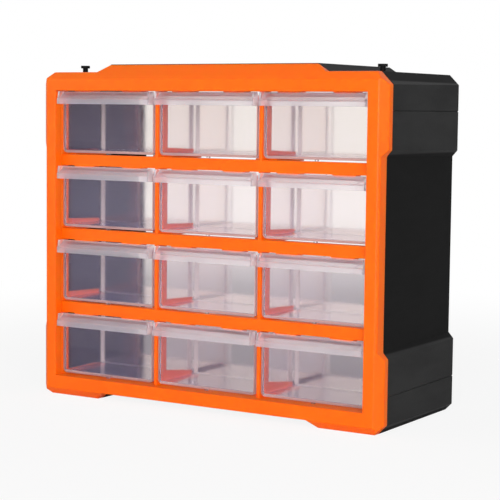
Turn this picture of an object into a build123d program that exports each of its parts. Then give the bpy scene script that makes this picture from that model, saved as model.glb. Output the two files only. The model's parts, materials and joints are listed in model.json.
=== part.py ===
from build123d import *
import os
from math import atan2, degrees, hypot, sqrt

# Cabinet of clear drawers. Origin under the middle of its footprint: X across, Y to the back, Z up.
cabinet_width = 265.0
cabinet_depth = 108.0
corner_height = 223.0
wall = 2.2
side_draft = 1.4
overrun = 1.0

# Outline shared by the bezel and the housing: stout corner blocks, a waist, a crown and two feet
crown_rise = 5.2
crown_shoulder = 52.5
crown_ramp = 8.4
foot_rise = 5.0
foot_length = 52.5
foot_ramp = 6.5
waist_inset = 3.5
upper_block_height = 47.8
lower_block_height = 47.1
block_ramp = 4.0
top_chamfer = 8.0
bottom_chamfer = 6.0

# Drawer cells in the rack
columns = 3
rows = 4
mullion = 2.4
rail_height = 7.6
side_border = 12.5
head_height = 12.6
sill_height = 14.0
grid_depth = 7.4
rack_rim = 4.0

# Bezel around the rack
bezel_depth = 10.2
bezel_bevel = 5.0
jamb_depth = 7.2
seat_gap = 0.3

# Stop tabs under each lintel
tab_width = 17.0
tab_drop = 2.0
tab_place_share = 0.256
tab_side_angle = 50.0

# Guides that carry the drawers behind the rack
guide_reach = 34.8
guide_flange_half_width = 8.0
guide_flange = 2.0
guide_web_front = 5.0
guide_web_back = 3.6
base_web_front = 8.3
ledge_reach = 6.2
running_gap = 0.3

# Clear drawer
panel_set_back = 7.9
drawer_rear_room = 9.8
drawer_wall = 1.7
drawer_corner = 3.0
side_gap = 0.8
drawer_lift = 1.2
drawer_drop = 2.4
nub_width = 2.0
nub_gap = 0.3

# Pull lip across the top of each drawer
lip_reach = 7.2
lip_wall = 1.5
crest_rise = 2.0
hood_drop = 4.9
apron_height = 3.7
cheek_lean = 1.3
brace_wall = 1.5
brace_front_inset = 8.0
brace_back_inset = 2.0

# Catches on the drawer's back wall that meet the stop tabs
catch_width = 12.0
catch_gap = 0.5

# Divider and the ribs that hold it
divider_wall = 1.5
divider_gap = 0.2
divider_drop = 2.0
divider_place_share = 0.485
rib = 0.8

# Housing details
rim_width = 6.0
rim_wall = 2.0
tongue_wall = 1.6
tongue_reach = 3.4
tongue_root = 6.0
tongue_gap = 0.15
tongue_length_share = 0.7
lug_width = 10.0
lug_depth = 6.0
lug_reach = 5.5
crease_depth = 0.5

# Stacking pegs on top and the keyhole slots for them underneath
peg_inset = 16.7
peg_set_back = 28.0
peg_head_radius = 3.1
peg_head = 1.8
peg_stem_radius = 1.8
peg_stem = 3.2
peg_shank = 2.8
peg_shank_gap = 0.1
peg_shank_tail = 1.5
slot_gap = 0.6
slot_slide = 9.0

# Places worked out from the sizes above
half_width = cabinet_width / 2
front = -cabinet_depth / 2
back = cabinet_depth / 2
seam = front + bezel_depth
grid_front = front + jamb_depth
grid_back = grid_front + grid_depth
crown_half_width = half_width - crown_shoulder
foot_gap_half_width = half_width - foot_length
window_width = cabinet_width - 2 * side_border
window_height = corner_height - sill_height - head_height
window_middle = sill_height + window_height / 2
cell_width = (window_width - (columns - 1) * mullion) / columns
cell_height = (window_height - (rows - 1) * rail_height) / rows
column_pitch = cell_width + mullion
row_pitch = cell_height + rail_height
face_width = cabinet_width - 2 * bezel_bevel
face_height = corner_height - 2 * bezel_bevel
face_middle = corner_height / 2
drawer_width = cell_width - 2 * side_gap
drawer_height = cell_height - drawer_lift - drawer_drop
panel_y = front + panel_set_back
drawer_back = back - drawer_rear_room
drawer_length = drawer_back - panel_y
tab_offset = tab_place_share * cell_width
lip_y = panel_y - lip_reach
crest_y = grid_front - seat_gap
crest = drawer_height + crest_rise
hood_edge = crest - hood_drop
lip_base = hood_edge - apron_height
divider_y = panel_y + divider_place_share * drawer_length
guide_top = drawer_lift - running_gap
guide_end = grid_back + guide_reach
peg_offset = half_width - peg_inset
peg_y = front + peg_set_back
rear_opening_width = cabinet_width - 2 * (waist_inset + wall + rim_width)
rear_opening_height = corner_height - foot_rise - 2 * (wall + rim_width)
pocket_width = window_width + 2 * (rack_rim + seat_gap)
pocket_height = window_height + 2 * (rack_rim + seat_gap)
peg_hole = peg_shank + 2 * peg_shank_gap
slot_entry = 2 * (peg_head_radius + slot_gap)
slot_neck = 2 * (peg_stem_radius + slot_gap)
draft_angle = degrees(atan2(side_draft, back - seam))


def face_plane(y):
    # Upright plane across the cabinet at depth y, with its normal to the front
    return Plane.XZ.offset(-y)


def outline_points():
    # Outline of the cabinet from the front
    waist = half_width - waist_inset
    lower_block_top = lower_block_height + block_ramp
    upper_block_base = corner_height - upper_block_height
    right = [
        (foot_gap_half_width, foot_rise),
        (foot_gap_half_width + foot_ramp, 0),
        (half_width - bottom_chamfer, 0),
        (half_width, bottom_chamfer),
        (half_width, lower_block_height),
        (waist, lower_block_top),
        (waist, upper_block_base - block_ramp),
        (half_width, upper_block_base),
        (half_width, corner_height - top_chamfer),
        (half_width - top_chamfer, corner_height),
        (crown_half_width + crown_ramp, corner_height),
        (crown_half_width, corner_height + crown_rise),
    ]
    left = [(-x, z) for x, z in reversed(right)]
    return right + left


def outline_sketch(margin):
    # Face inside the outline, a margin in from its edge
    with BuildSketch() as outline:
        with BuildLine():
            Polyline(*outline_points(), close=True)
        make_face()
        if margin:
            offset(amount=-margin, kind=Kind.INTERSECTION)
    return outline.sketch


def bevel_prism(set_back):
    # Block that opens out at 45 degrees on all four sides from the bezel's face
    growth = 2 * (bezel_depth - set_back)
    with BuildPart() as prism:
        with BuildSketch(face_plane(front + set_back)):
            with Locations((0, face_middle)):
                Rectangle(face_width, face_height)
        with BuildSketch(face_plane(seam)):
            with Locations((0, face_middle)):
                Rectangle(face_width + growth, face_height + growth)
        loft(ruled=True)
    return prism.part


def drafted_prism(margin, end):
    # Outline drawn back from the seam, with its upright sides leaning in by the mould's draft
    with BuildPart() as prism:
        with BuildSketch(face_plane(seam)):
            add(outline_sketch(margin))
        extrude(amount=seam - end)
        draft(prism.faces().filter_by(Axis.X), face_plane(seam), -draft_angle)
    return prism.part


def save(part, name):
    part.label = name
    export_step(part, f"parts/{name}.step")


os.makedirs("parts", exist_ok=True)

# Hollow behind the bezel's face, between its outer skirt and the jamb of its window
with BuildPart() as bezel_channel:
    with BuildSketch(face_plane(seam)):
        add(outline_sketch(wall))
        with Locations((0, window_middle)):
            Rectangle(window_width + 2 * wall, window_height + 2 * wall, mode=Mode.SUBTRACT)
    extrude(amount=bezel_depth - wall)
    add(bevel_prism(wall * sqrt(2)), mode=Mode.INTERSECT)

# Orange bezel: bevelled picture frame with a pocket behind for the rack
with BuildPart() as front_bezel:
    with BuildSketch(face_plane(seam)):
        add(outline_sketch(0))
    extrude(amount=bezel_depth)
    add(bevel_prism(0), mode=Mode.INTERSECT)
    with BuildSketch(face_plane(seam)):
        with Locations((0, window_middle)):
            Rectangle(window_width, window_height)
    extrude(amount=bezel_depth, mode=Mode.SUBTRACT)
    with BuildSketch(face_plane(seam)):
        with Locations((0, window_middle)):
            Rectangle(pocket_width, pocket_height)
    extrude(amount=bezel_depth - jamb_depth, mode=Mode.SUBTRACT)
    add(bezel_channel.part, mode=Mode.SUBTRACT)
save(front_bezel.part, "front_bezel")

# Orange rack: grid of drawer openings with two stop tabs under each lintel
with BuildPart() as drawer_rack:
    with BuildSketch(face_plane(grid_front)):
        with Locations((0, window_middle)):
            Rectangle(window_width + 2 * rack_rim, window_height + 2 * rack_rim)
            with GridLocations(column_pitch, row_pitch, columns, rows):
                Rectangle(cell_width, cell_height, mode=Mode.SUBTRACT)
                with Locations((-tab_offset, cell_height / 2), (tab_offset, cell_height / 2)):
                    Trapezoid(
                        tab_width,
                        tab_drop,
                        tab_side_angle,
                        rotation=180,
                        align=(Align.CENTER, Align.MIN),
                    )
    extrude(amount=-grid_depth)
save(drawer_rack.part, "drawer_rack")


def web_sketch(web_front):
    # Side view of the upright web that keeps drawers apart, lower towards its back end
    with BuildSketch() as web:
        with BuildLine():
            Polyline(
                (grid_back, guide_top - guide_flange),
                (guide_end, guide_top - guide_flange),
                (guide_end, drawer_lift + guide_web_back),
                (grid_back, drawer_lift + web_front),
                close=True,
            )
        make_face()
    return web.sketch


def add_flange(x_low, x_high):
    # Flat runner under the drawers
    with Locations(((x_low + x_high) / 2, grid_back, guide_top)):
        Box(
            x_high - x_low,
            guide_reach,
            guide_flange,
            align=(Align.CENTER, Align.MIN, Align.MAX),
        )


def tee_guide(web_front):
    # Guide between two columns of drawers, standing at the top of its rail
    with BuildPart() as guide:
        add_flange(-guide_flange_half_width, guide_flange_half_width)
        with BuildSketch(Plane.YZ):
            add(web_sketch(web_front))
        extrude(amount=mullion / 2, both=True)
    return guide.part


def side_ledge(has_web):
    # Runner beside an outer column, on the right hand side
    with BuildPart() as ledge:
        add_flange(window_width / 2 - ledge_reach, window_width / 2 + rack_rim)
        if has_web:
            with BuildSketch(Plane.YZ.offset(window_width / 2)):
                add(web_sketch(guide_web_front))
            extrude(amount=wall)
    return ledge.part


rail_tops = [sill_height + (rows - 1 - row) * row_pitch for row in range(rows)]
column_places = [(column - (columns - 1) / 2) * column_pitch for column in range(columns)]
for row, rail_top in enumerate(rail_tops):
    lowest = row == rows - 1
    tee = tee_guide(base_web_front if lowest else guide_web_front)
    for gap in range(columns - 1):
        middle = (column_places[gap] + column_places[gap + 1]) / 2
        save(tee.moved(Location((middle, 0, rail_top))), f"tee_guide_r{row + 1}g{gap + 1}")
    right = side_ledge(has_web=0 < row < rows - 1)
    save(right.moved(Location((0, 0, rail_top))), f"side_ledge_r{row + 1}_right")
    left = mirror(right, about=Plane.YZ)
    save(left.moved(Location((0, 0, rail_top))), f"side_ledge_r{row + 1}_left")

# Black housing: drafted sleeve open at the back, with a rim, locating tongues, rack lugs and creases
with BuildPart() as rear_housing:
    add(drafted_prism(0, back))
    add(drafted_prism(wall, back - rim_wall), mode=Mode.SUBTRACT)
    with BuildSketch(face_plane(back)):
        with Locations((0, (corner_height + foot_rise) / 2)):
            Rectangle(rear_opening_width, rear_opening_height)
    extrude(amount=rim_wall, mode=Mode.SUBTRACT)
    waist_inside = half_width - waist_inset - wall
    waist_height = corner_height - upper_block_height - lower_block_height - 2 * block_ramp
    waist_middle = lower_block_height + block_ramp + waist_height / 2
    for side in (-1, 1):
        tongue_x = side * (waist_inside - tongue_gap - tongue_wall / 2)
        with Locations((tongue_x, seam - tongue_reach, waist_middle)):
            Box(
                tongue_wall,
                tongue_reach + tongue_root,
                waist_height * tongue_length_share,
                align=(Align.CENTER, Align.MIN, Align.CENTER),
            )
        with Locations((side * waist_inside, seam, waist_middle)):
            Box(
                wall,
                tongue_root,
                waist_height * tongue_length_share,
                align=(Align.CENTER, Align.MIN, Align.CENTER),
            )
        for step in (-1, 1):
            lug_x = side * (waist_inside + (wall / 2 - lug_reach) / 2)
            with Locations((lug_x, grid_back, waist_middle + step * row_pitch / 2)):
                Box(
                    lug_reach + wall / 2,
                    lug_depth,
                    lug_width,
                    align=(Align.CENTER, Align.MIN, Align.CENTER),
                )
        with Locations((side * peg_offset, peg_y, corner_height)):
            Box(peg_hole, peg_hole, 2 * (wall + overrun), mode=Mode.SUBTRACT)
        with BuildSketch(Plane.XY):
            with Locations((side * peg_offset, peg_y)):
                Rectangle(slot_entry, slot_entry)
                Rectangle(slot_neck, slot_entry / 2 + slot_slide, align=(Align.CENTER, Align.MIN))
        extrude(amount=wall + overrun, mode=Mode.SUBTRACT)
        for crease_z in (lower_block_height / 2, corner_height - upper_block_height / 2):
            for y, lean in ((seam, 0), (back, side_draft)):
                edge = side * (half_width - lean)
                with BuildSketch(face_plane(y)):
                    with BuildLine():
                        Polyline(
                            (edge, crease_z - crease_depth),
                            (edge - side * crease_depth, crease_z),
                            (edge, crease_z + crease_depth),
                            close=True,
                        )
                    make_face()
            loft(ruled=True, mode=Mode.SUBTRACT)
save(rear_housing.part, "rear_housing")

# Black mushroom peg with a square shank through the top of the housing
with BuildPart() as stacking_peg:
    with BuildSketch(Plane.XZ):
        with BuildLine():
            Polyline(
                (0, corner_height),
                (peg_stem_radius, corner_height),
                (peg_stem_radius, corner_height + peg_stem),
                (peg_head_radius, corner_height + peg_stem),
                (peg_head_radius, corner_height + peg_stem + peg_head),
                (0, corner_height + peg_stem + peg_head),
                close=True,
            )
        make_face()
    revolve(axis=Axis.Z)
    with Locations((0, 0, corner_height)):
        Box(
            peg_shank,
            peg_shank,
            wall + peg_shank_tail,
            align=(Align.CENTER, Align.CENTER, Align.MAX),
        )
for side, hand in ((-1, "left"), (1, "right")):
    save(stacking_peg.part.moved(Location((side * peg_offset, peg_y, 0))), f"stacking_peg_{hand}")


def lip_section():
    # Section through the pull lip: a shelf to the crest, a hood that slopes forward, then an apron
    hood_run = crest_y - lip_y
    slope = hood_drop / hood_run
    hood_wall = lip_wall * hypot(hood_run, hood_drop) / hood_run
    knee_y = crest_y - (crest_rise + lip_wall - hood_wall) / slope
    apron_inside = lip_y + lip_wall
    return [
        (panel_y + drawer_wall, drawer_height),
        (crest_y, drawer_height),
        (crest_y, crest),
        (lip_y, hood_edge),
        (lip_y, lip_base),
        (apron_inside, lip_base),
        (apron_inside, crest - hood_wall - (crest_y - apron_inside) * slope),
        (knee_y, drawer_height - lip_wall),
        (panel_y + drawer_wall, drawer_height - lip_wall),
    ]


def lip_filling(front_corner):
    # Side view of the space that the lip shelters, up to one front corner
    return [
        (panel_y, lip_base),
        (lip_y, lip_base),
        front_corner,
        (crest_y, crest),
        (crest_y, drawer_height),
        (panel_y, drawer_height),
    ]


# Slanting braces under the lip, one near each end
with BuildPart() as lip_braces:
    with BuildSketch(Plane.XY.offset(lip_base)):
        for side in (-1, 1):
            brace_front = side * (drawer_width / 2 - brace_front_inset)
            brace_back = side * (drawer_width / 2 - brace_back_inset)
            with BuildLine():
                Polyline(
                    (brace_front - brace_wall / 2, lip_y),
                    (brace_front + brace_wall / 2, lip_y),
                    (brace_back + brace_wall / 2, panel_y),
                    (brace_back - brace_wall / 2, panel_y),
                    close=True,
                )
            make_face()
    extrude(amount=crest - lip_base)
    with BuildSketch(Plane.YZ):
        with BuildLine():
            Polyline(*lip_filling((lip_y, hood_edge)), close=True)
        make_face()
    extrude(amount=drawer_width / 2, both=True, mode=Mode.INTERSECT)

# Clear drawer, drawn with its underside at Z zero
with BuildPart() as drawer:
    with BuildSketch(face_plane(panel_y)) as tub:
        Rectangle(drawer_width, drawer_height, align=(Align.CENTER, Align.MIN))
        fillet(tub.vertices().group_by(Axis.Y)[0], drawer_corner)
    extrude(amount=-drawer_length)
    with BuildSketch(face_plane(panel_y + drawer_wall)) as hollow:
        with Locations((0, drawer_wall)):
            Rectangle(
                drawer_width - 2 * drawer_wall,
                drawer_height,
                align=(Align.CENTER, Align.MIN),
            )
        fillet(hollow.vertices().group_by(Axis.Y)[0], drawer_corner - drawer_wall)
    extrude(amount=-(drawer_length - 2 * drawer_wall), mode=Mode.SUBTRACT)
    with BuildSketch(Plane.YZ):
        with BuildLine():
            Polyline(*lip_section(), close=True)
        make_face()
    extrude(amount=drawer_width / 2, both=True)
    add(lip_braces.part)
    for side in (-1, 1):
        with BuildSketch(Plane.YZ.offset(side * (drawer_width - lip_wall) / 2)):
            with BuildLine():
                Polyline(*lip_filling((lip_y + cheek_lean, crest)), close=True)
            make_face()
        extrude(amount=lip_wall / 2, both=True)
    with BuildSketch(face_plane(drawer_back)):
        with Locations((-tab_offset, drawer_height), (tab_offset, drawer_height)):
            Rectangle(catch_width, drawer_drop - catch_gap, align=(Align.CENTER, Align.MIN))
    extrude(amount=drawer_wall)
    with Locations((0, panel_y, 0)):
        Box(
            nub_width,
            drawer_wall,
            drawer_lift - nub_gap,
            align=(Align.CENTER, Align.MIN, Align.MAX),
        )
    rib_x = drawer_width / 2 - drawer_wall - rib / 2
    rib_y = divider_wall / 2 + divider_gap + rib / 2
    with BuildSketch(Plane.XY.offset(drawer_wall)):
        with Locations((0, divider_y)):
            with GridLocations(2 * rib_x, 2 * rib_y, 2, 2):
                Rectangle(rib, rib)
    extrude(amount=drawer_height - drawer_wall - divider_drop)

# Clear divider that drops between the ribs and stands on the drawer's floor
with BuildPart() as divider:
    with BuildSketch(face_plane(divider_y - divider_wall / 2)) as plate:
        with Locations((0, drawer_wall)):
            Rectangle(
                drawer_width - 2 * (drawer_wall + divider_gap),
                drawer_height - drawer_wall - divider_drop,
                align=(Align.CENTER, Align.MIN),
            )
        fillet(plate.vertices().group_by(Axis.Y)[0], drawer_corner - drawer_wall)
    extrude(amount=-divider_wall)

for row, rail_top in enumerate(rail_tops):
    for column, middle in enumerate(column_places):
        place = Location((middle, 0, rail_top + drawer_lift))
        cell = f"r{row + 1}c{column + 1}"
        save(drawer.part.moved(place), f"drawer_{cell}")
        save(divider.part.moved(place), f"divider_{cell}")
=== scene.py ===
import bpy
import json
import math
from mathutils import Matrix, Vector


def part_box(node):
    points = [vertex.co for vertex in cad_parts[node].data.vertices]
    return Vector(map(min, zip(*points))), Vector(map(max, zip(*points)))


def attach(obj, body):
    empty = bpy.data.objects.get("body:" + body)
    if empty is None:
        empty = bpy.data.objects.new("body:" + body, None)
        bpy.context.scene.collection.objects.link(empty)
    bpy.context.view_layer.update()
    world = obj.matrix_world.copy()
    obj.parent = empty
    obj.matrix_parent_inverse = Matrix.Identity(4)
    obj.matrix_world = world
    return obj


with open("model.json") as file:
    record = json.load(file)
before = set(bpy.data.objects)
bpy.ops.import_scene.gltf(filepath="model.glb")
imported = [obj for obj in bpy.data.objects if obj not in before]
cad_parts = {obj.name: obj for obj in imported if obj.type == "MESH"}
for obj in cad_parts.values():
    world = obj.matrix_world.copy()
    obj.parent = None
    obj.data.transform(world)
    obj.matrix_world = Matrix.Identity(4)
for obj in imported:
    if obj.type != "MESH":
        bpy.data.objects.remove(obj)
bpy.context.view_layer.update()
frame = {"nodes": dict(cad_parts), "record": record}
nodes = frame["nodes"]
mm = 0.001


def linear(hexColour):  # sRGB hex to linear RGBA
    parts = [int(hexColour[i:i + 2], 16) / 255 for i in (1, 3, 5)]
    return (*[p / 12.92 if p <= 0.04045 else ((p + 0.055) / 1.055) ** 2.4 for p in parts], 1.0)


def addNode(tree, kind, settings=None, inputs=None):  # a new node with its settings and links
    node = tree.nodes.new(kind)
    for name, value in (settings or {}).items():
        setattr(node, name, value)
    for name, value in (inputs or {}).items():
        if isinstance(value, bpy.types.NodeSocket):
            tree.links.new(value, node.inputs[name])
        else:
            node.inputs[name].default_value = value
    return node


colourA, colourB, colourOut = 6, 7, 2  # a Mix node's sockets when it mixes colours


def newMaterial(name):
    material = bpy.data.materials.new(name)
    material.use_nodes = True
    material.node_tree.nodes.clear()
    return material, material.node_tree


# Orange polypropylene, injection moulded on a satin tool: strong even colour, soft highlights,
# slow flow shading across each moulding and a fine spark-eroded grain
orangeLook = {
    "pale": "#fd6f08",
    "deep": "#f66202",
    "flowSize": 60 * mm,
    "flowDetail": 3.0,
    "flowRough": 0.5,
    "grainSize": 1.1 * mm,  # really about 0.2 mm, drawn coarser so that it shows
    "grainDetail": 2.0,
    "grainRough": 0.6,
    "grainHeight": 0.012 * mm,
    "grainLow": 0.3,  # the grain's hollows and crests take the two ends of the roughness
    "grainHigh": 0.7,
    "roughLow": 0.36,
    "roughHigh": 0.46,
    "ior": 1.49,
    "specular": 0.2,
    "depth": 0.6,  # share of the light that goes under the surface
    "depthReach": 3 * mm,
    "depthRadius": (1.0, 0.25, 0.08),  # red travels farthest
}


def orangePolypropylene(look):
    material, tree = newMaterial("orangePolypropylene")
    place = addNode(tree, "ShaderNodeTexCoord").outputs["Object"]
    flow = addNode(tree, "ShaderNodeTexNoise", {}, {
        "Vector": place, "Scale": 1 / look["flowSize"],
        "Detail": look["flowDetail"], "Roughness": look["flowRough"]})
    grain = addNode(tree, "ShaderNodeTexNoise", {}, {
        "Vector": place, "Scale": 1 / look["grainSize"],
        "Detail": look["grainDetail"], "Roughness": look["grainRough"]})
    colour = addNode(tree, "ShaderNodeMix", {"data_type": "RGBA"}, {
        "Factor": flow.outputs["Fac"],
        colourA: linear(look["deep"]), colourB: linear(look["pale"])})
    rough = addNode(tree, "ShaderNodeMapRange", {}, {
        "Value": grain.outputs["Fac"], "From Min": look["grainLow"], "From Max": look["grainHigh"],
        "To Min": look["roughLow"], "To Max": look["roughHigh"]})
    bump = addNode(tree, "ShaderNodeBump", {}, {
        "Height": grain.outputs["Fac"], "Distance": look["grainHeight"], "Strength": 1.0})
    shader = addNode(tree, "ShaderNodeBsdfPrincipled", {}, {
        "Base Color": colour.outputs[colourOut], "Roughness": rough.outputs["Result"],
        "Normal": bump.outputs["Normal"], "IOR": look["ior"], "Specular IOR Level": look["specular"],
        "Subsurface Weight": look["depth"], "Subsurface Radius": look["depthRadius"],
        "Subsurface Scale": look["depthReach"]})
    addNode(tree, "ShaderNodeOutputMaterial", {}, {"Surface": shader.outputs["BSDF"]})
    return material


# Black polypropylene, injection moulded on a coarser grained tool: dull, with the corner blocks
# a little shinier from handling, and painted sheen on them: a lighter base colour and lighter
# blotches
blackLook = {
    "waist": "#0a0a0a",
    # the blocks' base colour, lighter than the waist's: painted sheen
    "blockSheen": "#151515",
    # painted sheen: lighter blotches on the blocks
    "sheenPatchColour": "#353535",
    "sheenPatchShare": 0.45,
    "grainSize": 1.3 * mm,  # really about 0.3 mm, drawn coarser so that it shows
    "grainHeight": 0.03 * mm,
    # noise sizes, for the scuffs in the roughness and for the painted sheen blotches
    "scuffSheenLength": 60 * mm,
    "scuffSheenWidth": 16 * mm,
    "scuffSheenDetail": 4.0,
    "scuffSheenRough": 0.6,
    "sheenPatchLow": 0.35,  # painted sheen patches start to show here
    "sheenPatchHigh": 0.65,  # and are full here
    "blockEdge": 130.1 * mm,  # the blocks stand outside this, the waist inside
    "blockFade": 0.4 * mm,
    "roughWaist": 0.6,
    "roughBlock": 0.42,
    "roughSpread": 0.12,  # what the scuffs add to the roughness
    "ior": 1.49,
    "specular": 0.15,
}


def blackPolypropylene(look):
    material, tree = newMaterial("blackPolypropylene")
    place = addNode(tree, "ShaderNodeTexCoord").outputs["Object"]
    stretched = addNode(tree, "ShaderNodeMapping", {}, {
        "Vector": place,
        "Scale": (1 / look["scuffSheenWidth"], 1 / look["scuffSheenLength"], 1 / look["scuffSheenWidth"])})
    scuffSheen = addNode(tree, "ShaderNodeTexNoise", {}, {
        "Vector": stretched.outputs["Vector"], "Scale": 1.0,  # the mapping has the real sizes
        "Detail": look["scuffSheenDetail"], "Roughness": look["scuffSheenRough"]})
    grain = addNode(tree, "ShaderNodeTexVoronoi", {"feature": "SMOOTH_F1"}, {
        "Vector": place, "Scale": 1 / look["grainSize"]})
    across = addNode(tree, "ShaderNodeSeparateXYZ", {}, {"Vector": place})
    outward = addNode(tree, "ShaderNodeMath", {"operation": "ABSOLUTE"}, {0: across.outputs["X"]})
    onBlock = addNode(tree, "ShaderNodeMapRange", {}, {
        "Value": outward.outputs["Value"],
        "From Min": look["blockEdge"] - look["blockFade"],
        "From Max": look["blockEdge"] + look["blockFade"]})
    polish = addNode(tree, "ShaderNodeMapRange", {}, {
        "Value": onBlock.outputs["Result"],
        "To Min": look["roughWaist"], "To Max": look["roughBlock"]})
    uneven = addNode(tree, "ShaderNodeMath", {"operation": "MULTIPLY_ADD"}, {
        0: scuffSheen.outputs["Fac"], 1: look["roughSpread"], 2: polish.outputs["Result"]})
    # painted sheen: the corner blocks get a lighter base colour than the waist
    plain = addNode(tree, "ShaderNodeMix", {"data_type": "RGBA"}, {
        "Factor": onBlock.outputs["Result"],
        colourA: linear(look["waist"]), colourB: linear(look["blockSheen"])})
    # painted sheen: lighter blotches on the blocks where the scuff noise is high
    sheenPatchAmount = addNode(tree, "ShaderNodeMapRange", {}, {
        "Value": scuffSheen.outputs["Fac"], "From Min": look["sheenPatchLow"], "From Max": look["sheenPatchHigh"],
        "To Max": look["sheenPatchShare"]})
    paintedSheen = addNode(tree, "ShaderNodeMath", {"operation": "MULTIPLY"}, {
        0: sheenPatchAmount.outputs["Result"], 1: onBlock.outputs["Result"]})
    colour = addNode(tree, "ShaderNodeMix", {"data_type": "RGBA"}, {
        "Factor": paintedSheen.outputs["Value"],
        colourA: plain.outputs[colourOut], colourB: linear(look["sheenPatchColour"])})
    bump = addNode(tree, "ShaderNodeBump", {}, {
        "Height": grain.outputs["Distance"], "Distance": look["grainHeight"], "Strength": 1.0})
    shader = addNode(tree, "ShaderNodeBsdfPrincipled", {}, {
        "Base Color": colour.outputs[colourOut], "Roughness": uneven.outputs["Value"],
        "Normal": bump.outputs["Normal"], "IOR": look["ior"], "Specular IOR Level": look["specular"]})
    addNode(tree, "ShaderNodeOutputMaterial", {}, {"Surface": shader.outputs["BSDF"]})
    return material


# Clear polystyrene, injection moulded on a polished tool: glassy and faintly warm to look through,
# with a thin blue-grey haze over dark things, slow flow waves, and frosting on lips, ribs and edges
drawerLow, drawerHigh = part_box("drawer_r1c1")
dividerStand = 1.7 * mm  # from a drawer's underside to its divider's foot
clearLook = {
    "tint": "#fffcfc",
    "lampTint": "#eae5e5",  # what the lamps' light keeps at each surface on its way through
    "hazeTint": "#a0a9ff",
    "haze": 0.06,  # share of full sheen
    "hazeRough": 0.6,
    "glint": "#d2d0ff",  # reflections are bluish
    "ior": 1.52,
    "waveSize": 14 * mm,
    "waveDetail": 1.0,
    "waveHeight": 0.004 * mm,
    "cloudSize": 9 * mm,
    "cloudDetail": 4.0,
    "cloudRough": 0.6,
    "cloudLow": 0.35,  # the clouds' ends take the two ends of the roughness
    "cloudHigh": 0.75,
    "roughLow": 0.07,
    "roughHigh": 0.12,
    "frostRough": 0.6,  # roughness that full frosting adds
    "frostMilk": 0.5,  # share of light that full frosting scatters
    "milkPower": 2.0,  # thin frosting blurs more than it whitens
    "lipFrost": 0.4,  # frosting runs from 0, clear, to 1, full
    "lipBack": -46.95 * mm,  # the lip stands in front of this
    "lipFade": 0.25 * mm,
    "panelPlace": -45.6 * mm,  # middle of the front panel, and how far it reaches each way
    "panelHalf": 1.25 * mm,
    "rim": 1.6 * mm,  # width of the outline round the front panel and the back wall
    "rimFrost": 0.45,
    "rimPaintedReflection": "#ffb4a4",  # painted reflection: the front outline takes the orange of the rack beside it
    "backFrost": 0.85,
    "backPlace": drawerHigh[1],
    "backHalf": 2.2 * mm,
    "halfWidth": (drawerHigh[0] - drawerLow[0]) / 2,
    "columnPitch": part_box("drawer_r1c2")[0][0] - drawerLow[0],
    "rowPitch": drawerLow[2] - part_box("drawer_r2c1")[0][2],
    "floor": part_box("divider_r4c1")[0][2] - dividerStand,  # underside of the lowest drawers
    "ribFrost": 0.88,
    "ribPlace": sum(c[1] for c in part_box("divider_r1c1")) / 2,
    "ribHalf": 1.8 * mm,
    "flatFace": 0.6,  # the divider's broad faces turn this far to the front or back
}


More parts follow.
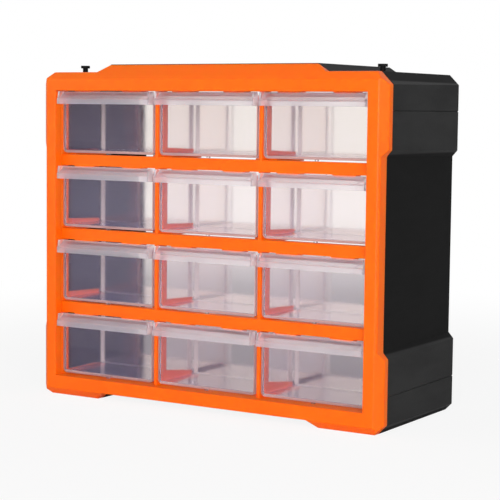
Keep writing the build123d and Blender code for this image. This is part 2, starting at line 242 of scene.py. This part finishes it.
# Frost on the pull lip, the divider's ribs and the outlines of the front panel and the back wall,
# and beside it the front outline alone, which carries the painted reflection of the orange rack
def drawerFrost(tree, place, look):
    at = addNode(tree, "ShaderNodeSeparateXYZ", {}, {"Vector": place.outputs["Object"]})
    lip = addNode(tree, "ShaderNodeMapRange", {}, {
        "Value": at.outputs["Y"],
        "From Min": look["lipBack"] - look["lipFade"],
        "From Max": look["lipBack"] + look["lipFade"],
        "To Min": look["lipFrost"], "To Max": 0.0})
    across = addNode(tree, "ShaderNodeMath", {"operation": "WRAP"}, {
        0: at.outputs["X"], 1: look["columnPitch"] / 2, 2: -look["columnPitch"] / 2})
    outward = addNode(tree, "ShaderNodeMath", {"operation": "ABSOLUTE"}, {0: across.outputs["Value"]})
    atSide = addNode(tree, "ShaderNodeMath", {"operation": "GREATER_THAN"}, {
        0: outward.outputs["Value"], 1: look["halfWidth"] - look["rim"]})
    height = addNode(tree, "ShaderNodeMath", {"operation": "WRAP"}, {
        0: at.outputs["Z"], 1: look["floor"] + look["rowPitch"], 2: look["floor"]})
    atBase = addNode(tree, "ShaderNodeMath", {"operation": "LESS_THAN"}, {
        0: height.outputs["Value"], 1: look["floor"] + look["rim"]})
    outline = addNode(tree, "ShaderNodeMath", {"operation": "MAXIMUM"}, {
        0: atSide.outputs["Value"], 1: atBase.outputs["Value"]})
    onPanel = addNode(tree, "ShaderNodeMath", {"operation": "COMPARE"}, {
        0: at.outputs["Y"], 1: look["panelPlace"], 2: look["panelHalf"]})
    rim = addNode(tree, "ShaderNodeMath", {"operation": "MULTIPLY"}, {
        0: outline.outputs["Value"], 1: onPanel.outputs["Value"]})
    framed = addNode(tree, "ShaderNodeMath", {"operation": "MULTIPLY"}, {
        0: rim.outputs["Value"], 1: look["rimFrost"]})
    atBack = addNode(tree, "ShaderNodeMath", {"operation": "COMPARE"}, {
        0: at.outputs["Y"], 1: look["backPlace"], 2: look["backHalf"]})
    corner = addNode(tree, "ShaderNodeMath", {"operation": "MULTIPLY"}, {
        0: outline.outputs["Value"], 1: atBack.outputs["Value"]})
    cornered = addNode(tree, "ShaderNodeMath", {"operation": "MULTIPLY"}, {
        0: corner.outputs["Value"], 1: look["backFrost"]})
    onRib = addNode(tree, "ShaderNodeMath", {"operation": "COMPARE"}, {
        0: at.outputs["Y"], 1: look["ribPlace"], 2: look["ribHalf"]})
    ribbed = addNode(tree, "ShaderNodeMath", {"operation": "MULTIPLY"}, {
        0: onRib.outputs["Value"], 1: look["ribFrost"]})
    front = addNode(tree, "ShaderNodeMath", {"operation": "MAXIMUM"}, {
        0: lip.outputs["Result"], 1: framed.outputs["Value"]})
    rear = addNode(tree, "ShaderNodeMath", {"operation": "MAXIMUM"}, {
        0: ribbed.outputs["Value"], 1: cornered.outputs["Value"]})
    frost = addNode(tree, "ShaderNodeMath", {"operation": "MAXIMUM"}, {
        0: front.outputs["Value"], 1: rear.outputs["Value"]})
    return frost.outputs["Value"], rim.outputs["Value"]


# Frost on the divider's edges and none on its broad faces, with no outline
def dividerFrost(tree, place, look):
    facing = addNode(tree, "ShaderNodeSeparateXYZ", {}, {"Vector": place.outputs["Normal"]})
    turned = addNode(tree, "ShaderNodeMath", {"operation": "ABSOLUTE"}, {0: facing.outputs["Y"]})
    frost = addNode(tree, "ShaderNodeMath", {"operation": "LESS_THAN"}, {
        0: turned.outputs["Value"], 1: look["flatFace"]})
    return frost.outputs["Value"], None


def clearPolystyrene(name, frostOn, look):
    material, tree = newMaterial(name)
    place = addNode(tree, "ShaderNodeTexCoord")
    frost, rim = frostOn(tree, place, look)
    wave = addNode(tree, "ShaderNodeTexNoise", {}, {
        "Vector": place.outputs["Object"], "Scale": 1 / look["waveSize"],
        "Detail": look["waveDetail"]})
    cloud = addNode(tree, "ShaderNodeTexNoise", {}, {
        "Vector": place.outputs["Object"], "Scale": 1 / look["cloudSize"],
        "Detail": look["cloudDetail"], "Roughness": look["cloudRough"]})
    polish = addNode(tree, "ShaderNodeMapRange", {}, {
        "Value": cloud.outputs["Fac"], "From Min": look["cloudLow"], "From Max": look["cloudHigh"],
        "To Min": look["roughLow"], "To Max": look["roughHigh"]})
    rough = addNode(tree, "ShaderNodeMath", {"operation": "MULTIPLY_ADD"}, {
        0: frost, 1: look["frostRough"], 2: polish.outputs["Result"]})
    milk = addNode(tree, "ShaderNodeMath", {"operation": "POWER"}, {0: frost, 1: look["milkPower"]})
    clear = addNode(tree, "ShaderNodeMapRange", {}, {
        "Value": milk.outputs["Value"], "To Min": 1.0, "To Max": 1.0 - look["frostMilk"]})
    bump = addNode(tree, "ShaderNodeBump", {}, {
        "Height": wave.outputs["Fac"], "Distance": look["waveHeight"], "Strength": 1.0})
    colour = linear(look["tint"])
    # painted reflection: the front outline's base colour takes the orange of the rack beside it
    if rim:
        paintedReflection = addNode(tree, "ShaderNodeMix", {"data_type": "RGBA"}, {
            "Factor": rim, colourA: colour, colourB: linear(look["rimPaintedReflection"])})
        colour = paintedReflection.outputs[colourOut]
    plastic = addNode(tree, "ShaderNodeBsdfPrincipled", {}, {
        "Base Color": colour, "Roughness": rough.outputs["Value"],
        "Normal": bump.outputs["Normal"], "IOR": look["ior"], "Specular Tint": linear(look["glint"]),
        "Transmission Weight": clear.outputs["Result"],
        "Sheen Weight": look["haze"], "Sheen Roughness": look["hazeRough"],
        "Sheen Tint": linear(look["hazeTint"])})
    path = addNode(tree, "ShaderNodeLightPath")
    lampWay = addNode(tree, "ShaderNodeBsdfTransparent", {}, {"Color": linear(look["lampTint"])})
    lit = addNode(tree, "ShaderNodeMixShader", {}, {
        "Fac": path.outputs["Is Shadow Ray"],
        1: plastic.outputs["BSDF"], 2: lampWay.outputs["BSDF"]})
    addNode(tree, "ShaderNodeOutputMaterial", {}, {"Surface": lit.outputs["Shader"]})
    return material


finishes = {
    "orange_plastic": orangePolypropylene(orangeLook),
    "black_plastic": blackPolypropylene(blackLook),
    "clear_plastic": clearPolystyrene("clearPolystyrene", drawerFrost, clearLook),
}
dividerFinish = clearPolystyrene("clearPolystyreneSheet", dividerFrost, clearLook)
for part in frame["record"]["subparts"]:
    node = nodes[part["node"]]
    finish = finishes[part["material_slot"]]
    if part["node"].startswith("divider"):
        finish = dividerFinish
    node.data.materials.clear()
    node.data.materials.append(finish)
print("materials set:", ", ".join(finishes))

# Rounding that the mould leaves on the edges of each kind of moulding; the first name that fits holds
edgeRadius = {
    "front_bezel": 0.9 * mm,
    "drawer_rack": 0.45 * mm,
    "rear_housing": 0.6 * mm,
    "stacking_peg": 0.35 * mm,
    "tee_guide": 0.3 * mm,
    "side_ledge": 0.3 * mm,
    "drawer_r": 0.3 * mm,
    "divider": 0.25 * mm,
}
softening = {
    "weldDistance": 0.002 * mm,
    "flatAngle": 0.6,  # facets that meet flatter than this are joined
    "sharpAngle": 32,  # edges that turn more than this are rounded
    "segments": 2,
    "faceWeight": 100,  # broad faces stay flat in the shading
}


def softenEdges(node, radius, how):
    weld = node.modifiers.new("weld", "WELD")
    weld.merge_threshold = how["weldDistance"]
    flat = node.modifiers.new("flat", "DECIMATE")
    flat.decimate_type = "DISSOLVE"
    flat.angle_limit = math.radians(how["flatAngle"])
    edge = node.modifiers.new("edge", "BEVEL")
    edge.width = radius
    edge.segments = how["segments"]
    edge.limit_method = "ANGLE"
    edge.angle_limit = math.radians(how["sharpAngle"])
    edge.loop_slide = False
    shade = node.modifiers.new("shade", "WEIGHTED_NORMAL")
    shade.weight = how["faceWeight"]


for name, node in nodes.items():
    kind = next(k for k in edgeRadius if name.startswith(k))
    softenEdges(node, edgeRadius[kind], softening)
print("edges softened")

# Thin fin behind each mullion, between neighbouring drawers: the orange band seen through the walls
finLook = {
    "thick": 2.0 * mm,
    "thinBack": 0.75,  # share of the thickness left at the back by the draft
    "reach": 4.4 * mm,  # behind the mullion
    "sunk": 0.4 * mm,  # root inside the mullion and the lowest guide
    "topRoom": 2.0 * mm,  # from the rack's upper edge
    "backFacing": 0.9,  # the back face turns at least this far to the back
    "round": 0.5 * mm,
    "segments": 3,
    "smoothAngle": 30,
}


def makeFin(name, middle, look, finish):
    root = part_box("tee_guide_r1g1")[0][1] - look["sunk"]
    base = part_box("tee_guide_r4g1")[0][2] + look["sunk"]
    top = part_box("drawer_rack")[1][2] - look["topRoom"]
    size = (look["thick"], look["reach"] + look["sunk"], top - base)
    centre = (middle, root + size[1] / 2, (base + top) / 2)
    bpy.ops.object.select_all(action="DESELECT")
    bpy.ops.mesh.primitive_cube_add(size=1, location=centre, scale=size)
    fin = bpy.context.object
    fin.name = name
    bpy.ops.object.transform_apply(location=True, rotation=True, scale=True)
    for face in fin.data.polygons:
        face.select = face.normal.y > look["backFacing"]
    bpy.ops.object.mode_set(mode="EDIT")
    bpy.ops.mesh.select_mode(type="FACE")
    bpy.ops.transform.resize(value=(look["thinBack"], 1, 1), center_override=centre)
    bpy.ops.mesh.bevel(offset=look["round"], segments=look["segments"])
    bpy.ops.object.mode_set(mode="OBJECT")
    bpy.ops.object.shade_smooth_by_angle(angle=math.radians(look["smoothAngle"]))
    fin.data.materials.append(finish)
    return fin


firstMullion = -clearLook["columnPitch"] / 2  # its place across the front
firstFin = makeFin("mullion_fin_g1", firstMullion, finLook, finishes["orange_plastic"])
secondFin = firstFin.copy()
secondFin.name = "mullion_fin_g2"
secondFin.data = firstFin.data.copy()
secondFin.data.transform(Matrix.Translation((clearLook["columnPitch"], 0, 0)))
bpy.context.scene.collection.objects.link(secondFin)
for fin in (firstFin, secondFin):
    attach(fin, "cabinet")
    print("fin made:", fin.name, len(fin.data.polygons), "faces")

# Pale floor that keeps a faint shadow, and a studio with a white backdrop opposite the camera
roomLook = {
    "white": "#ffffff",
    "floorSize": 8.0,
    "floorColour": "#f2f2f2",
    "glowNear": 0.88,  # share of the floor's picture that is plain white, beside the cabinet
    "glowFar": 1.0,
    "nearEdge": 0.22,  # distances on the floor are in metres from under the cabinet's middle
    "farEdge": 0.75,
    "throughNear": 0.35,  # through clear plastic the floor is grey this near
    "throughFar": 1.6,  # and white this far
    "ambient": 0.42,  # level of the studio's own light on the cabinet
    "ceiling": 0.3,  # share of the ambient light that comes from straight above
    "backdropWay": (-0.527, 0.85, 0.0),
    "backdropEdge": 0.62,
    "backdropFade": 0.12,
    "hallWay": (0.0, 0.8, 0.6),  # light on its way inside clear plastic sees white behind and above
    "hallEdge": 0.2,
    "hallFade": 0.2,
    "hallLevel": 0.85,
    "dim": "#e4e4e5",  # what gloss sees of the rest of the studio
    "dimLevel": 0.34,
    "warm": "#fff2ee",  # light that ran along the clear walls, from the orange beside them
    "once": 0.5,  # more than this is one bounce or more
}


def makeFloor(look):
    bpy.ops.object.select_all(action="DESELECT")
    bpy.ops.mesh.primitive_plane_add(size=look["floorSize"], location=(0, 0, 0))
    floor = bpy.context.object
    floor.name = "floor"
    material, tree = newMaterial("floorPaper")
    place = addNode(tree, "ShaderNodeTexCoord").outputs["Object"]
    away = addNode(tree, "ShaderNodeVectorMath", {"operation": "LENGTH"}, {0: place})
    glow = addNode(tree, "ShaderNodeMapRange", {"interpolation_type": "SMOOTHSTEP"}, {
        "Value": away.outputs["Value"], "From Min": look["nearEdge"], "From Max": look["farEdge"],
        "To Min": look["glowNear"], "To Max": look["glowFar"]})
    path = addNode(tree, "ShaderNodeLightPath")
    seen = addNode(tree, "ShaderNodeMath", {"operation": "MULTIPLY"}, {
        0: path.outputs["Is Camera Ray"], 1: glow.outputs["Result"]})
    behind = addNode(tree, "ShaderNodeMapRange", {"interpolation_type": "SMOOTHSTEP"}, {
        "Value": away.outputs["Value"],
        "From Min": look["throughNear"], "From Max": look["throughFar"]})
    share = addNode(tree, "ShaderNodeMath", {"operation": "MULTIPLY_ADD"}, {
        0: path.outputs["Is Transmission Ray"], 1: behind.outputs["Result"],
        2: seen.outputs["Value"]})
    paper = addNode(tree, "ShaderNodeBsdfDiffuse", {}, {"Color": linear(look["floorColour"])})
    white = addNode(tree, "ShaderNodeEmission", {}, {"Color": linear(look["white"]), "Strength": 1.0})
    mixed = addNode(tree, "ShaderNodeMixShader", {}, {
        "Fac": share.outputs["Value"], 1: paper.outputs["BSDF"], 2: white.outputs["Emission"]})
    addNode(tree, "ShaderNodeOutputMaterial", {}, {"Surface": mixed.outputs["Shader"]})
    floor.data.materials.append(material)


def makeStudio(look):
    world = bpy.data.worlds.new("whiteStudio")
    world.use_nodes = True
    bpy.context.scene.world = world
    tree = world.node_tree
    tree.nodes.clear()
    path = addNode(tree, "ShaderNodeLightPath")
    bounced = addNode(tree, "ShaderNodeMath", {"operation": "ADD"}, {
        0: path.outputs["Glossy Depth"], 1: path.outputs["Diffuse Depth"]})
    straight = addNode(tree, "ShaderNodeMath", {"operation": "LESS_THAN"}, {
        0: bounced.outputs["Value"], 1: look["once"]})  # seen directly, also through clear plastic
    outlook = addNode(tree, "ShaderNodeTexCoord").outputs["Generated"]
    upward = addNode(tree, "ShaderNodeSeparateXYZ", {}, {"Vector": outlook})
    overhead = addNode(tree, "ShaderNodeMapRange", {}, {
        "Value": upward.outputs["Z"], "To Min": look["ambient"],
        "To Max": look["ambient"] * look["ceiling"]})
    level = addNode(tree, "ShaderNodeMath", {"operation": "MAXIMUM"}, {
        0: straight.outputs["Value"], 1: overhead.outputs["Result"]})
    plain = addNode(tree, "ShaderNodeBackground", {}, {
        "Color": linear(look["white"]), "Strength": level.outputs["Value"]})
    ahead = addNode(tree, "ShaderNodeVectorMath", {"operation": "DOT_PRODUCT"}, {
        0: outlook, 1: look["backdropWay"]})
    backdrop = addNode(tree, "ShaderNodeMapRange", {}, {
        "Value": ahead.outputs["Value"],
        "From Min": look["backdropEdge"] - look["backdropFade"],
        "From Max": look["backdropEdge"] + look["backdropFade"]})
    around = addNode(tree, "ShaderNodeVectorMath", {"operation": "DOT_PRODUCT"}, {
        0: outlook, 1: look["hallWay"]})
    hall = addNode(tree, "ShaderNodeMapRange", {}, {
        "Value": around.outputs["Value"],
        "From Min": look["hallEdge"] - look["hallFade"],
        "From Max": look["hallEdge"] + look["hallFade"], "To Max": look["hallLevel"]})
    inside = addNode(tree, "ShaderNodeMath", {"operation": "GREATER_THAN"}, {
        0: path.outputs["Transmission Depth"], 1: look["once"]})
    guided = addNode(tree, "ShaderNodeMath", {"operation": "MULTIPLY"}, {
        0: inside.outputs["Value"], 1: hall.outputs["Result"]})
    bright = addNode(tree, "ShaderNodeMath", {"operation": "MAXIMUM"}, {
        0: backdrop.outputs["Result"], 1: guided.outputs["Value"]})
    strength = addNode(tree, "ShaderNodeMapRange", {}, {
        "Value": bright.outputs["Value"], "To Min": look["dimLevel"], "To Max": 1.0})
    shade = addNode(tree, "ShaderNodeMix", {"data_type": "RGBA"}, {
        "Factor": guided.outputs["Value"],
        colourA: linear(look["dim"]), colourB: linear(look["warm"])})
    mirrored = addNode(tree, "ShaderNodeBackground", {}, {
        "Color": shade.outputs[colourOut], "Strength": strength.outputs["Result"]})
    reflected = addNode(tree, "ShaderNodeMath", {"operation": "GREATER_THAN"}, {
        0: path.outputs["Glossy Depth"], 1: look["once"]})
    mixed = addNode(tree, "ShaderNodeMixShader", {}, {
        "Fac": reflected.outputs["Value"],
        1: plain.outputs["Background"], 2: mirrored.outputs["Background"]})
    addNode(tree, "ShaderNodeOutputWorld", {}, {"Surface": mixed.outputs["Shader"]})


makeFloor(roomLook)
makeStudio(roomLook)

# Two large soft boxes, which clear plastic doesn't show, in metres and watts
lamps = {
    "keyBox": {"place": (0.85, -1.25, 0.42), "size": 0.9, "power": 21},
    "fillBox": {"place": (-1.9, -1.0, 0.6), "size": 1.4, "power": 11},
}
lampAim = Vector((0, 0, 0.11))  # about the middle of the cabinet
for name, lamp in lamps.items():
    light = bpy.data.lights.new(name, "AREA")
    light.shape = "SQUARE"
    light.size = lamp["size"]
    light.energy = lamp["power"]
    box = bpy.data.objects.new(name, light)
    bpy.context.scene.collection.objects.link(box)
    box.visible_transmission = False
    box.location = lamp["place"]
    box.rotation_euler = (lampAim - box.location).to_track_quat("-Z", "Y").to_euler()
print("room and lamps set")

# Camera where the photograph was taken from
cameraLook = {
    "place": (559.85 * mm, -894.74 * mm, 198.64 * mm),
    "yaw": 31.83,  # degrees, as the next two
    "pitch": 5.12,
    "roll": 0.63,
    "lens": 112.5,  # millimetres, as the sensor's width
    "sensor": 36,
    "clipStart": 0.01,
}


def makeCamera(look):
    yaw, pitch, roll = (math.radians(look[k]) for k in ("yaw", "pitch", "roll"))
    ahead = Vector((
        -math.sin(yaw) * math.cos(pitch), math.cos(yaw) * math.cos(pitch), -math.sin(pitch)))
    right = Vector((math.cos(yaw), math.sin(yaw), 0))
    up = right.cross(ahead)
    tiltRight = math.cos(roll) * right + math.sin(roll) * up
    tiltUp = math.cos(roll) * up - math.sin(roll) * right
    data = bpy.data.cameras.new("camera")
    data.lens = look["lens"]
    data.sensor_width = look["sensor"]
    data.clip_start = look["clipStart"]
    camera = bpy.data.objects.new("camera", data)
    bpy.context.scene.collection.objects.link(camera)
    turn = Matrix((tiltRight, tiltUp, -ahead)).transposed().to_4x4()
    camera.matrix_world = Matrix.Translation(look["place"]) @ turn
    bpy.context.scene.camera = camera


makeCamera(cameraLook)
bpy.context.scene.view_settings.view_transform = "Standard"
lightBounces = 40  # light runs along the clear walls by many inner reflections
bpy.context.scene.cycles.max_bounces = lightBounces
bpy.context.scene.cycles.glossy_bounces = lightBounces
bpy.context.scene.cycles.transmission_bounces = lightBounces
print("camera set")
